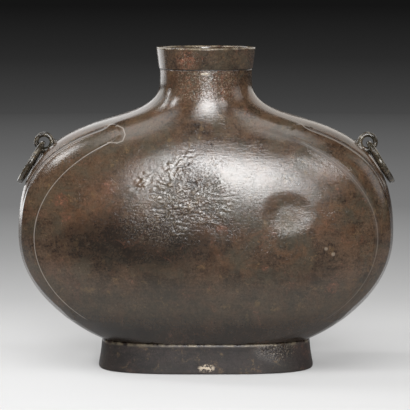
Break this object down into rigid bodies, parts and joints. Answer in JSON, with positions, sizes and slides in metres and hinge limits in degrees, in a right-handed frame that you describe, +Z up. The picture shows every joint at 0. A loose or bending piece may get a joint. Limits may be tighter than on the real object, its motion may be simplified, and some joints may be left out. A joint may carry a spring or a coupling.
{
  "type": "bronze hu vessel",
  "caption": "Flattened oval bronze flask with a short round neck, a lip band, a hollow splayed foot, and a loose ring hanging from a loop on each shoulder.",
  "frame": {"origin": "on the ground under the middle of the foot", "axes": "+Z up through the neck, +X across the broad face to the viewer's right, the broad front face looks along -Y"},
  "size_m": [0.3426, 0.124, 0.29],
  "materials": {
    "body_bronze": "dark brown, lacquer-like patina, glossy, mottled with red and olive, pitted in patches",
    "lip_bronze": "dark brown patina with red cuprite spots, worn edge",
    "foot_bronze": "dark grey-brown patina, rubbed and slightly rough",
    "loop_bronze": "grey-brown patina, worn bright on the edges",
    "ring_bronze": "grey-brown patina, worn bright where it rubs"
  },
  "bodies": {
    "vessel": {"vessel_body": "body_bronze", "lip_band": "lip_bronze", "foot_ring": "foot_bronze", "loop_left": "loop_bronze", "loop_right": "loop_bronze"},
    "ring_left": {"ring_left": "ring_bronze"},
    "ring_right": {"ring_right": "ring_bronze"}
  },
  "joints": [
    {"name": "ring_left_swing", "type": "hinge", "parent": "vessel", "child": "ring_left", "pos_m": [-0.14777, 0, 0.20273], "axis": [0, 1, 0], "range_deg": [0, 200]},
    {"name": "ring_right_swing", "type": "hinge", "parent": "vessel", "child": "ring_right", "pos_m": [0.14777, 0, 0.20273], "axis": [0, -1, 0], "range_deg": [0, 200]}
  ]
}
